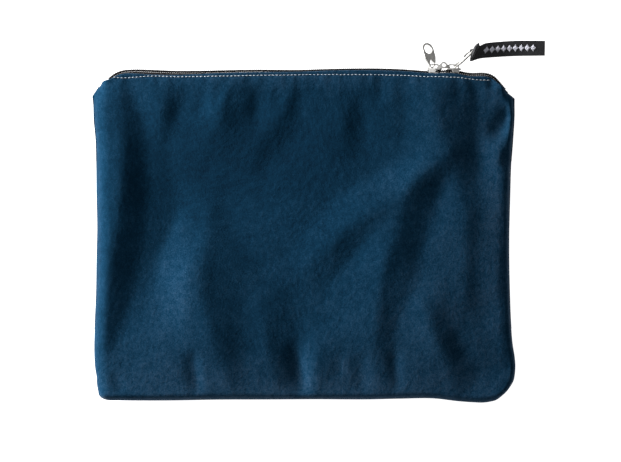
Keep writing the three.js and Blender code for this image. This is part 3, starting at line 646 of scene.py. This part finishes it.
def velvet_panel(name, height, side, material):
    """One velvet panel: seam roll, body, lip rolled over at the mouth, and the hem inside."""
    mouth_rows = np.concatenate([np.arange(0, 9, 0.75), np.arange(9, 18, 1.2)])
    flat, out = cloth_grid(0.0, LIP_ROLL, MOUTH_END_X, 1.5, mouth_rows, True)
    x, y = flat[..., 0], flat[..., 1]
    warped_x, warped_y = sewn(x, y)
    rise = corner_rise(x, y)
    body = np.stack([warped_x + np.sign(x) * rise, warped_y + rise, height(x, y)], axis=-1)
    edge = body[-1]
    half = np.abs(edge[:, 2] - MID)
    roll = np.minimum(LIP_ROLL, half * 0.45)[:, None]
    rows = [body]
    away = lifted(out, 0)
    toward = np.array([0, 0, -side])
    hemmed = 0.1 + 0.9 * smooth((151 - np.abs(edge[:, 0])) / 5)
    for turn in np.linspace(0, math.pi, 9)[1:]:
        rows.append((edge + away * roll * math.sin(turn) + toward * roll * (1 - math.cos(turn)))[None])
    for deep in np.linspace(0, HEM_DEPTH, 7)[1:]:
        inner = edge[:, :2] - out * (deep * hemmed)[:, None]
        level = np.abs(height(inner[:, 0], inner[:, 1]) - MID) - np.maximum(2 * roll[:, 0], 1.4)
        rows.append(lifted(inner, MID + side * np.maximum(level, 0.1))[None])
    points = np.concatenate(rows)
    # The return of the lip never crosses the panel's own middle plane
    points[..., 2] = MID + side * np.maximum(side * (points[..., 2] - MID), 0.08)
    verts, faces = thick_sheet(points, VELVET_THICKNESS, side)
    panel = mesh_object(name, (verts, faces), material)
    # Painted light and shade, partly pile tone, stored at each point for the velvet's colour
    tone = panel.data.attributes.new("painted_light_and_pile", "FLOAT", "POINT")
    tone.data.foreach_set("value", pile_and_painted_light_tone(side * verts[:, 0], verts[:, 1]).astype(np.float32))
    return panel


def lining_panel(name, height, side, material):
    """One lining, a little inside the velvet and slightly rippled."""
    flat, _ = cloth_grid(3.2, 5.5, 146.0, 3.0, np.arange(0, 12, 2.0))
    x, y = flat[..., 0], flat[..., 1]
    ripple = 0.25 * np.sin(x / 6.3 + np.sin(y / 21)) * smooth(inside_seam(x, y) / 20)
    points = np.stack([*sewn(x, y), height(x, y, LINING_DEPTH) + side * ripple], axis=-1)
    return mesh_object(name, thick_sheet(points, LINING_THICKNESS, side), material)


# ---- Swept pieces ----

def swept_tube(points, radii, sides, reference):
    """Points and faces of a closed tube along a line. The reference directions never run along it."""
    points = np.asarray(points, float)
    along = normalised(np.gradient(points, axis=0))
    first = normalised(np.cross(along, reference))
    second = np.cross(along, first)
    turns = np.linspace(0, 2 * math.pi, sides, endpoint=False)
    radii = np.broadcast_to(radii, len(points))[:, None, None]
    ring = first[:, None] * np.cos(turns)[None, :, None] + second[:, None] * np.sin(turns)[None, :, None]
    verts = (points[:, None] + radii * ring).reshape(-1, 3)
    index = np.arange(len(verts)).reshape(len(points), sides)
    following = np.roll(index, -1, axis=1)
    quads = np.stack([index[:-1], following[:-1], following[1:], index[1:]], axis=-1).reshape(-1, 4)
    faces = [tuple(q) for q in quads] + [tuple(index[0, ::-1]), tuple(index[-1])]
    return verts, faces


def joined(parts):
    """Several lots of points and faces as one."""
    verts, faces, count = [], [], 0
    for part_verts, part_faces in parts:
        verts.append(part_verts)
        faces.extend(tuple(int(i) + count for i in face) for face in part_faces)
        count += len(part_verts)
    return np.concatenate(verts), faces


def stitches(name, material, line, ups, period, length, radius, rise, sink, seed):
    """A row of separate stitches along a line, each arching over the cloth between two needle holes."""
    ups = np.broadcast_to(ups, line.shape)
    draw = np.random.default_rng(seed)
    steps = distances(line)
    profile = np.array([0.25, 0.75, 1.0, 1.0, 1.0, 0.75, 0.25])
    share = np.linspace(0, 1, len(profile))
    parts = []
    for k in range(int(steps[-1] / period)):
        at = (k + 0.5) * period + (share - 0.5) * length + draw.uniform(-0.04, 0.04) * period
        spot = between(at, steps, line)
        up = normalised(between(at, steps, ups))
        across = normalised(np.cross(spot[-1] - spot[0], up[3]))
        spot = spot + up * (rise * np.sin(math.pi * share) - sink)[:, None]
        spot = spot + across * draw.uniform(-0.07, 0.07) * np.linspace(-1, 1, len(share))[:, None]
        parts.append(swept_tube(spot, radius * profile, 6, up))
    return mesh_object(name, joined(parts), material)


# ---- Zipper and stitching ----

def parted(x):
    """How far the two sliders' wedges part the coils."""
    return PARTED_BY * smooth((CLOSED_FROM - np.abs(x - PAIR_X)) / (CLOSED_FROM - PARTED_LENGTH))


def bag_line(step, left=CHAIN_LEFT_X, right=CHAIN_RIGHT_X):
    """Points along the sewn chain, their X and Y on the pattern, and the way out of the bag."""
    pattern, _ = mouth_curve(CHAIN - LIP, MOUTH_END_X, int(2 * MOUTH_END_X / step))
    pattern = pattern[(pattern[:, 0] > left) & (pattern[:, 0] < right)]
    line = np.stack(sewn(*pattern.T), axis=1)
    return line, pattern.T, sideways(line)


def section_points(line, out, a, b, side):
    """Points at a distance a out of the bag and b away from its middle plane."""
    return lifted(line + out * np.broadcast_to(a, len(line))[:, None], MID + side * b)


def coil_middle(x):
    return 0.1 + COIL_WIDTH / 2 + parted(x)


def coil(name, side, material):
    """One half of the zipper's coil: a filament wound in flattened turns that mesh with the other half's."""
    line, (x, _), out = bag_line(COIL_PITCH / 16)
    half_pitch = 0.5 if side < 0 else 0.0
    turn = 2 * math.pi * (distances(line) / COIL_PITCH + half_pitch)
    tall = COIL_HEIGHT / 2 - FILAMENT_RADIUS
    wide = COIL_WIDTH / 2 - FILAMENT_RADIUS + COIL_OVERLAP
    squared = 1 + 0.12 * np.cos(2 * turn) ** 2
    a = COIL_HEIGHT / 2 + tall * np.sin(turn) * squared
    b = coil_middle(x) - COIL_OVERLAP - wide * np.cos(turn)
    points = section_points(line, out, a, b, side)
    along = lifted(normalised(np.gradient(line, axis=0)), 0)
    return mesh_object(name, swept_tube(points, FILAMENT_RADIUS, 6, along), material)


def coil_cord(name, side, material):
    line, (x, _), out = bag_line(1.5)
    points = section_points(line, out, COIL_HEIGHT / 2, coil_middle(x) + 0.1, side)
    return mesh_object(name, swept_tube(points, FILLER_RADIUS, 8, lifted(out, 0)), material)


def coil_thread(name, side, material):
    """The chain stitches under the tape that hold the coil down."""
    line, (x, _), out = bag_line(1.0)
    under = TAPE_LEVEL - TAPE_THICKNESS - 0.1
    points = section_points(line, out, under, coil_middle(x) + 0.2, side)
    return stitches(name, material, points, lifted(-out, 0), COIL_PITCH,
                    length=1.35, radius=0.13, rise=0.1, sink=0.02, seed=3)


def tape(name, height, side, material):
    """Half of the zipper tape: level under its coil, then turned down inside the velvet's hem."""
    line, (x, y), out = bag_line(1.15, TAPE_LEFT_X, TAPE_RIGHT_X)
    level = np.abs(height(x, np.minimum(y, LIP - LIP_ROLL)) - MID)
    inner = 1.0 + parted(x)
    leg = np.maximum(level - 2 * LIP_ROLL - 0.35, inner + 0.9)
    leg = np.minimum(leg, np.maximum(level - 1.2, 0.3))
    inner = np.minimum(inner, 0.8 * leg)
    bend = np.minimum(TAPE_BEND, 0.6 * leg)
    rows = [(TAPE_LEVEL, mix(inner, leg - bend, t)) for t in np.linspace(0, 1, 4)]
    rows += [(TAPE_LEVEL - bend * (1 - math.cos(turn)), leg - bend * (1 - math.sin(turn)))
             for turn in np.linspace(0, math.pi / 2, 6)[1:]]
    rows += [(TAPE_LEVEL - bend - deep, leg) for deep in np.linspace(0, TAPE_DEPTH - bend, 6)[1:]]
    points = np.array([section_points(line, out, a, b, side) for a, b in rows])
    return mesh_object(name, thick_sheet(points, TAPE_THICKNESS, -side), material)


def topstitching(name, height, side, material):
    """The pale stitches that run along below the lip."""
    x = np.linspace(-STITCH_END_X - 1.8, STITCH_END_X, 900)
    y = stitch_line(x)
    line = np.stack([*sewn(x, y), height(x, y) + side * 0.2], axis=1)
    return stitches(name, material, line, (0, 0, side), STITCH_PERIOD,
                    length=2.45, radius=0.28, rise=0.3, sink=0.1, seed=5 + side)


def seam_thread(name, pattern, material):
    """Stitches of a closing seam, hidden between the two panels."""
    line = lifted(np.stack(sewn(*pattern.T), axis=1), MID)
    return stitches(name, material, line, (0, 0, 1), STITCH_PERIOD,
                    length=2.5, radius=0.2, rise=0.1, sink=0.05, seed=9)


def side_pattern(direction):
    y = np.linspace(-108, 104, 220)
    return np.stack([direction * (side_x(y) - SEAM_INSET), y], axis=1)


# ---- Hardware ----

CAST_VOXEL = 0.15
CAST_SMOOTHING = 4


def cast_metal(node, name, material):
    """A die-cast piece: the CAD node's shape with its edges softened."""
    rough = new_object(name, frame["nodes"][node].data.copy())
    remesh = rough.modifiers.new("remesh", "REMESH")
    remesh.mode = "VOXEL"
    remesh.voxel_size = CAST_VOXEL * MM
    soften = rough.modifiers.new("soften", "SMOOTH")
    soften.factor = 0.5
    soften.iterations = CAST_SMOOTHING
    bpy.context.view_layer.update()
    evaluated = rough.evaluated_get(bpy.context.evaluated_depsgraph_get())
    mesh = bpy.data.meshes.new_from_object(evaluated)
    mesh.name = name
    rough.modifiers.clear()
    rough.data = mesh
    mesh.materials.clear()
    mesh.materials.append(material)
    mesh.polygons.foreach_set("use_smooth", [True] * len(mesh.polygons))
    return rough


TAB_WIDER = 0.32
TAB_LEAN = 1.1


def left_tab_shape(piece):
    """The left tab's ring is broader than its neck, and the tab leans a little further over."""
    points = np.array([v.co for v in piece.data.vertices]) / MM
    low, high = points[:, 1].min(), points[:, 1].max()
    up = (points[:, 1] - low) / (high - low)
    neck = np.median(points[up < 0.2][:, 0])
    ring = np.median(points[up > 0.8][:, 0])
    middle = mix(neck, ring, up)
    points[:, 0] = middle + (points[:, 0] - middle) * (1 + TAB_WIDER * smooth(up / 0.3)) - TAB_LEAN * up
    piece.data.vertices.foreach_set("co", (points * MM).ravel())
    piece.data.update()


# ---- Label ribbon ----

RIBBON_LINES = [
    # share of the length, bottom edge, top edge, height of the middle
    (0.0, (126.8, 131.3), (133.3, 142.9), 8.2),
    (0.12, (133.0, 133.4), (137.2, 145.0), 7.0),
    (0.28, (145.6, 134.7), (146.4, 146.3), 5.0),
    (0.5, (160.2, 135.7), (160.3, 147.3), 3.0),
    (0.75, (172.5, 136.0), (172.6, 147.5), 1.7),
    (1.0, (183.2, 136.2), (183.5, 147.5), 1.0),
]
LEAF_EDGE = [(0.0, (125.7, 132.0)), (0.2, (125.9, 134.0)), (0.5, (127.1, 138.4)), (0.8, (129.3, 143.2)),
             (1.0, (132.3, 145.5))]
RIBBON_WIDTH = 11.5
RIBBON_THICKNESS = 0.3
LAYER_GAP = 0.25
RIBBON_TOP = 1.5 * RIBBON_THICKNESS + LAYER_GAP / 2
LOOP_START = np.array([130.6, 138.6])
LOOP_RADIUS = 1.5
LOOP_THICKNESS = 0.26


def along_table(rows, column, at):
    """Smooth places between the rows of a small table."""
    return np.stack([stray([(row[0], row[column][axis]) for row in rows], at) for axis in (0, 1)], axis=-1)


def ribbon_place(q, s):
    """The flat ribbon's middle surface: q runs across it and s along it."""
    flat = mix(along_table(RIBBON_LINES, 1, s), along_table(RIBBON_LINES, 2, s), q[..., None])
    z = stray([(row[0], row[3]) for row in RIBBON_LINES], s)
    cup = -0.5 * (2 * q - 1) ** 2 * smooth(1 - s / 0.5)
    wave = 0.22 * np.sin(9 * s + 2 * q) * smooth(s / 0.3)
    return lifted(flat, z + cup + wave)


def leaf_place(q, c, side):
    """The loop's flare: from the crease at c = 0 it rises and curls over to the left."""
    crease = ribbon_place(q, np.zeros_like(q))
    edge = along_table(LEAF_EDGE, 1, q)
    middle = np.exp(-((q - 0.55) / 0.22) ** 2)
    turn = c * np.radians(165 - 38 * middle)
    tall = 4.1 * np.sin(math.pi * np.clip(0.1 + 0.84 * q, 0, 1)) ** 0.7
    flat = mix(crease[..., :2], edge, (1 - np.cos(turn))[..., None] / 2)
    return lifted(flat, crease[..., 2] + side * tall * np.sin(turn))


def ribbon_layer(side):
    """One layer: the flat length and its share of the flare, as one sheet."""
    q = np.linspace(0, 1, 25)[:, None]
    s = np.linspace(1, 0, 70)[None, :]
    c = np.linspace(0, 1, 16)[None, 1:]
    flat = ribbon_place(*np.broadcast_arrays(q, s))
    apart = side * (LAYER_GAP + RIBBON_THICKNESS) / 2
    flat[..., 2] += apart
    leaf = leaf_place(*np.broadcast_arrays(q, c), side)
    leaf[..., 2] += apart
    points = np.concatenate([flat, leaf], axis=1)[:, ::-1]
    return thick_sheet(points + [0, 0, side * RIBBON_THICKNESS / 2], RIBBON_THICKNESS, side)


def ribbon_loop():
    """The bunched part that goes through the tab's hole and round its end bar."""
    line = [LOOP_START + [0, 0.35]]
    base = math.atan2(*(LOOP_START - TAB_EYE)[::-1])
    for turn in np.linspace(math.radians(75), math.radians(285), 22):
        line.append(TAB_EYE + LOOP_RADIUS * np.array([math.cos(base + turn), math.sin(base + turn)]))
    line.append(LOOP_START - [0, 0.35])
    line = resample(np.array(line), 60)
    rows = [lifted(line - sideways(line) * 0.14 * math.sin(7.5 * w), MID + 1.7 * w)
            for w in np.linspace(-1, 1, 13)]
    return thick_sheet(np.array(rows), LOOP_THICKNESS, 1)


def label_ribbon(material):
    return mesh_object("label_cloth", joined([ribbon_layer(1), ribbon_layer(-1), ribbon_loop()]), material)


MOTIFS = 9
MOTIF_FROM_X, MOTIF_TO_X = 138.2, 174.4
MOTIF_HALF = 2.75
MOTIF_STEP = 0.36
MOTIF_LEVEL = 0.52


def motif_row(material):
    """A row of small diamonds in satin stitch down the middle of the label."""
    parts = []
    s_values = np.linspace(0, 1, 200)
    middle_x = ribbon_place(np.full(200, MOTIF_LEVEL), s_values)[:, 0]
    for k in range(MOTIFS):
        middle = mix(MOTIF_FROM_X, MOTIF_TO_X, k / (MOTIFS - 1))
        for step in range(-5, 6):
            reach = MOTIF_HALF * (1 - abs(step) / 6) / RIBBON_WIDTH
            s = np.interp(middle + step * MOTIF_STEP, middle_x, s_values)
            q = MOTIF_LEVEL + np.linspace(-reach, reach, 7)
            points = ribbon_place(q, np.full_like(q, s))
            arch = np.sin(math.pi * np.linspace(0, 1, 7))
            points[:, 2] += RIBBON_TOP - 0.12 + 0.16 * arch
            radii = 0.22 * (0.45 + 0.55 * arch)
            parts.append(swept_tube(points, radii, 6, (0, 0, 1)))
    return mesh_object("label_motif", joined(parts), material)


def label_tack(material):
    """The row of stitches across the label that closes its loop."""
    q = np.linspace(0.12, 0.88, 40)
    line = ribbon_place(q, np.full_like(q, 0.1))
    line[:, 2] += RIBBON_TOP
    return stitches("label_tack", material, line, (0, 0, 1), 1.4,
                    length=1.15, radius=0.12, rise=0.12, sink=0.03, seed=12)


# ---- Materials ----

# Velvet colours from dark to light: the lightest stops are paler and greyer, a painted sheen where the colour
# is lightest, the random flecks included
VELVET_TONES_WITH_PAINTED_SHEEN = [(0.0, (0.0, 0.002, 0.007)), (0.5, (0.0015, 0.0228, 0.0508)), (0.7, (0.0072, 0.035, 0.072)),
                (1.0, (0.021, 0.054, 0.1))]


def new_material(name):
    material = bpy.data.materials.new(name)
    material.use_nodes = True
    tree = material.node_tree
    return material, tree, tree.nodes["Principled BSDF"]


def set_inputs(tree, node, values):
    """Gives a node's inputs their values: numbers and colours, or other nodes' results."""
    for name, value in values.items():
        if isinstance(value, bpy.types.NodeSocket):
            tree.links.new(value, node.inputs[name])
        else:
            node.inputs[name].default_value = value


def noise(tree, scale, detail=3.0, roughness=0.5, squeeze=1.0):
    """Noise on the object itself, drawn out along Y where squeeze is below 1."""
    place = tree.nodes.new("ShaderNodeTexCoord")
    mapping = tree.nodes.new("ShaderNodeMapping")
    set_inputs(tree, mapping, {"Vector": place.outputs["Object"], "Scale": (1, squeeze, 1)})
    node = tree.nodes.new("ShaderNodeTexNoise")
    set_inputs(tree, node, {"Vector": mapping.outputs["Vector"], "Scale": scale, "Detail": detail,
                            "Roughness": roughness})
    return node.outputs["Fac"]


def ramp(tree, factor, stops):
    node = tree.nodes.new("ShaderNodeValToRGB")
    while len(node.color_ramp.elements) < len(stops):
        node.color_ramp.elements.new(0.5)
    for element, (position, colour) in zip(node.color_ramp.elements, stops):
        element.position = position
        element.color = (*colour, 1)
    tree.links.new(factor, node.inputs["Fac"])
    return node.outputs["Color"]


def bump(tree, height, strength, distance, normal=None):
    node = tree.nodes.new("ShaderNodeBump")
    set_inputs(tree, node, {"Height": height, "Strength": strength, "Distance": distance})
    if normal is not None:
        tree.links.new(normal, node.inputs["Normal"])
    return node.outputs["Normal"]


def calculated(tree, operation, *values):
    """The result of a calculation on numbers and other nodes' results."""
    node = tree.nodes.new("ShaderNodeMath")
    node.operation = operation
    set_inputs(tree, node, dict(enumerate(values)))
    return node.outputs[0]


def mixed(tree, parts):
    """A weighted sum around 1: each part is a value from 0 to 1 and how far it moves the sum."""
    total = 1 - sum(weight for _, weight in parts)
    for value, weight in parts:
        total = calculated(tree, "MULTIPLY_ADD", value, 2 * weight, total)
    return total


def velvet_material():
    """Short dense pile: grain, brushed flecks, soft patches of painted light and shade and pile tone, a
    painted sheen that pales the lightest colour, and the shader's pale sheen where it turns away.
    """
    material, tree, shader = new_material("velvet")
    grain = noise(tree, 1050, 2, 0.7)
    flecks = noise(tree, 330, 3, 0.6, 0.85)
    brushed = noise(tree, 80, 3, 0.6, 0.9)
    pile = mixed(tree, [(grain, 0.75), (flecks, 0.5), (brushed, 0.3)])
    # The points' painted light and shade, partly pile tone, scales the colour
    tone = tree.nodes.new("ShaderNodeAttribute")
    tone.attribute_name = "painted_light_and_pile"
    toned = calculated(tree, "MULTIPLY", pile, tone.outputs["Fac"])
    halved = calculated(tree, "MULTIPLY", toned, 0.5)
    coarse = bump(tree, brushed, 0.5, 0.0012)
    middle = bump(tree, flecks, 0.45, 0.0005, coarse)
    set_inputs(tree, shader, {
        "Base Color": ramp(tree, halved, VELVET_TONES_WITH_PAINTED_SHEEN),
        "Roughness": 1.0,
        "Specular IOR Level": 0.04,
        "Sheen Weight": 0.17,
        "Sheen Roughness": 0.4,
        "Sheen Tint": (0.7, 0.84, 1.0, 1),
        "Normal": bump(tree, grain, 0.5, 0.00025, middle),
    })
    return material


def plain_cloth(name, dark, light, scale, roughness, lustre=0.0, specular=0.2, relief=0.4):
    """Woven cloth or thread: two close tones, and a fine bump at the same scale."""
    material, tree, shader = new_material(name)
    threads = noise(tree, scale)
    set_inputs(tree, shader, {
        "Base Color": ramp(tree, threads, [(0.3, dark), (0.7, light)]),
        "Metallic": lustre,
        "Roughness": roughness,
        "Specular IOR Level": specular,
        "Normal": bump(tree, threads, relief, 0.0003),
    })
    return material


def nickel_material():
    """Satin nickel: patchy tone and polish from handling. It is half metal, so it keeps some plain colour."""
    material, tree, shader = new_material("nickel")
    wear = noise(tree, 420, 5, 0.6)
    set_inputs(tree, shader, {
        "Base Color": ramp(tree, wear, [(0.25, (0.4, 0.395, 0.38)), (0.75, (0.53, 0.52, 0.5))]),
        "Metallic": 0.5,
        "Roughness": ramp(tree, wear, [(0.3, (0.46, 0.46, 0.46)), (0.7, (0.6, 0.6, 0.6))]),
        "Normal": bump(tree, wear, 0.08, 0.0002),
    })
    return material


# ---- Camera, floor and light ----

# In metres, but for the camera's sensor, which is in millimetres
VIEW_CENTRE = (0.0049, 0.00265)
VIEW_WIDTH = 0.4707
CAMERA_HEIGHT = 1.5
SENSOR_WIDTH = 36
FLOOR_HALF = 3.0
FLOOR_LEVEL = -0.0002
LIGHT_DISTANCE = 1.6


def add_camera():
    camera = bpy.data.cameras.new("camera")
    camera.sensor_width = SENSOR_WIDTH
    camera.lens = SENSOR_WIDTH * CAMERA_HEIGHT / VIEW_WIDTH
    thing = new_object("camera", camera)
    thing.location = (*VIEW_CENTRE, CAMERA_HEIGHT + MID * MM)
    bpy.context.scene.camera = thing


def add_floor():
    mesh = bpy.data.meshes.new("floor")
    corners = [(x * FLOOR_HALF, y * FLOOR_HALF, FLOOR_LEVEL) for x, y in ((-1, -1), (1, -1), (1, 1), (-1, 1))]
    mesh.from_pydata(corners, [], [(0, 1, 2, 3)])
    material, tree, shader = new_material("floor")
    set_inputs(tree, shader, {"Base Color": (0.8, 0.8, 0.8, 1), "Roughness": 0.9,
                              "Emission Color": (1, 1, 1, 1), "Emission Strength": 1.0})
    mesh.materials.append(material)
    new_object("floor", mesh)


def add_light(name, azimuth, elevation, size, power):
    """A round soft light that looks at the middle of the bag."""
    light = bpy.data.lights.new(name, "AREA")
    light.shape = "DISK"
    light.size = size
    light.energy = power
    thing = new_object(name, light)
    a, e = math.radians(azimuth), math.radians(elevation)
    spot = np.array([math.cos(e) * math.cos(a), math.cos(e) * math.sin(a), math.sin(e)])
    thing.location = spot * LIGHT_DISTANCE
    thing.rotation_euler = (math.pi / 2 - e, 0, a + math.pi / 2)


def add_world():
    world = bpy.data.worlds.new("studio")
    world.use_nodes = True
    backdrop = world.node_tree.nodes["Background"]
    set_inputs(world.node_tree, backdrop, {"Color": (0.95, 0.97, 1, 1), "Strength": 0.03})
    bpy.context.scene.world = world
    bpy.context.scene.view_settings.view_transform = "Standard"


add_camera()
add_floor()
add_light("key", azimuth=162, elevation=14, size=0.45, power=90)
add_light("top", azimuth=120, elevation=84, size=1.0, power=5.5)
add_world()

velvet = velvet_material()
lining_cloth = plain_cloth("lining", (0.005, 0.006, 0.009), (0.011, 0.013, 0.018), 700, 0.55,
                           specular=0.5, relief=0.13)
tape_cloth = plain_cloth("tape_weave", (0.004, 0.004, 0.0045), (0.011, 0.011, 0.012), 1500, 0.85)
nylon = plain_cloth("nylon", (0.003, 0.003, 0.0035), (0.006, 0.006, 0.0065), 300, 0.45)
pale_thread = plain_cloth("pale_thread", (0.3, 0.36, 0.42), (0.46, 0.51, 0.56), 1800, 0.5, 0.1)
navy_thread = plain_cloth("navy_thread", (0.004, 0.014, 0.024), (0.008, 0.024, 0.04), 1800, 0.6)
ribbon_weave = plain_cloth("ribbon_weave", (0.019, 0.0195, 0.0215), (0.051, 0.0515, 0.055), 1200, 0.6)
white_thread = plain_cloth("white_thread", (0.74, 0.74, 0.84), (0.9, 0.9, 0.98), 1800, 0.45, 0.2)
nickel = nickel_material()


def follows_mouth(piece):
    """Bakes a front piece's placement into its points; the piece is not bent."""
    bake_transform(piece)


def place(piece, node, slot, body=None):
    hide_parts(node)
    if body:
        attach(piece, body)
    elif node.startswith("front"):
        follows_mouth(piece)
    else:
        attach(piece, "back_half")
    return piece


for half, height, side in (("front", front_height, 1), ("back", back_height, -1)):
    outer = velvet_panel(f"{half}_velvet", height, side, velvet)
    place(outer, f"{half}_panel", "velvet")
    inner = lining_panel(f"{half}_lining_cloth", height, side, lining_cloth)
    place(inner, f"{half}_lining", "lining")
    strip = tape(f"{half}_tape", height, side, tape_cloth)
    place(strip, f"{half}_zipper_tape", "zipper_tape")
    place(coil(f"{half}_coil_filament", side, nylon), f"{half}_coil", "coil_nylon")
    place(coil_cord(f"{half}_filler_cord", side, tape_cloth), f"{half}_coil_cord", "zipper_tape")
    place(coil_thread(f"{half}_chain_stitches", side, tape_cloth), f"{half}_coil_thread", "zipper_tape")
    pale_row = topstitching(f"{half}_stitches", height, side, pale_thread)
    place(pale_row, f"{half}_topstitch", "topstitch_thread")

seams = {"left": side_pattern(-1), "right": side_pattern(1), "bottom": bottom_curve(SEAM_INSET, 330)}
for edge, pattern in seams.items():
    place(seam_thread(f"{edge}_seam_stitches", pattern, navy_thread), f"{edge}_seam_thread", "seam_thread")

for node, body in (("left_slider", "left_slider"), ("right_slider", "right_slider"),
                   ("left_pull_tab", "left_pull"), ("right_pull_tab", "right_pull")):
    cast = cast_metal(node, f"{node}_cast", nickel)
    if node == "left_pull_tab":
        left_tab_shape(cast)
    place(cast, node, "nickel", body)

ribbon = place(label_ribbon(ribbon_weave), "label_ribbon", "ribbon", "label")
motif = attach(motif_row(white_thread), "label")
tack = place(label_tack(ribbon_weave), "label_stitching", "ribbon", "label")
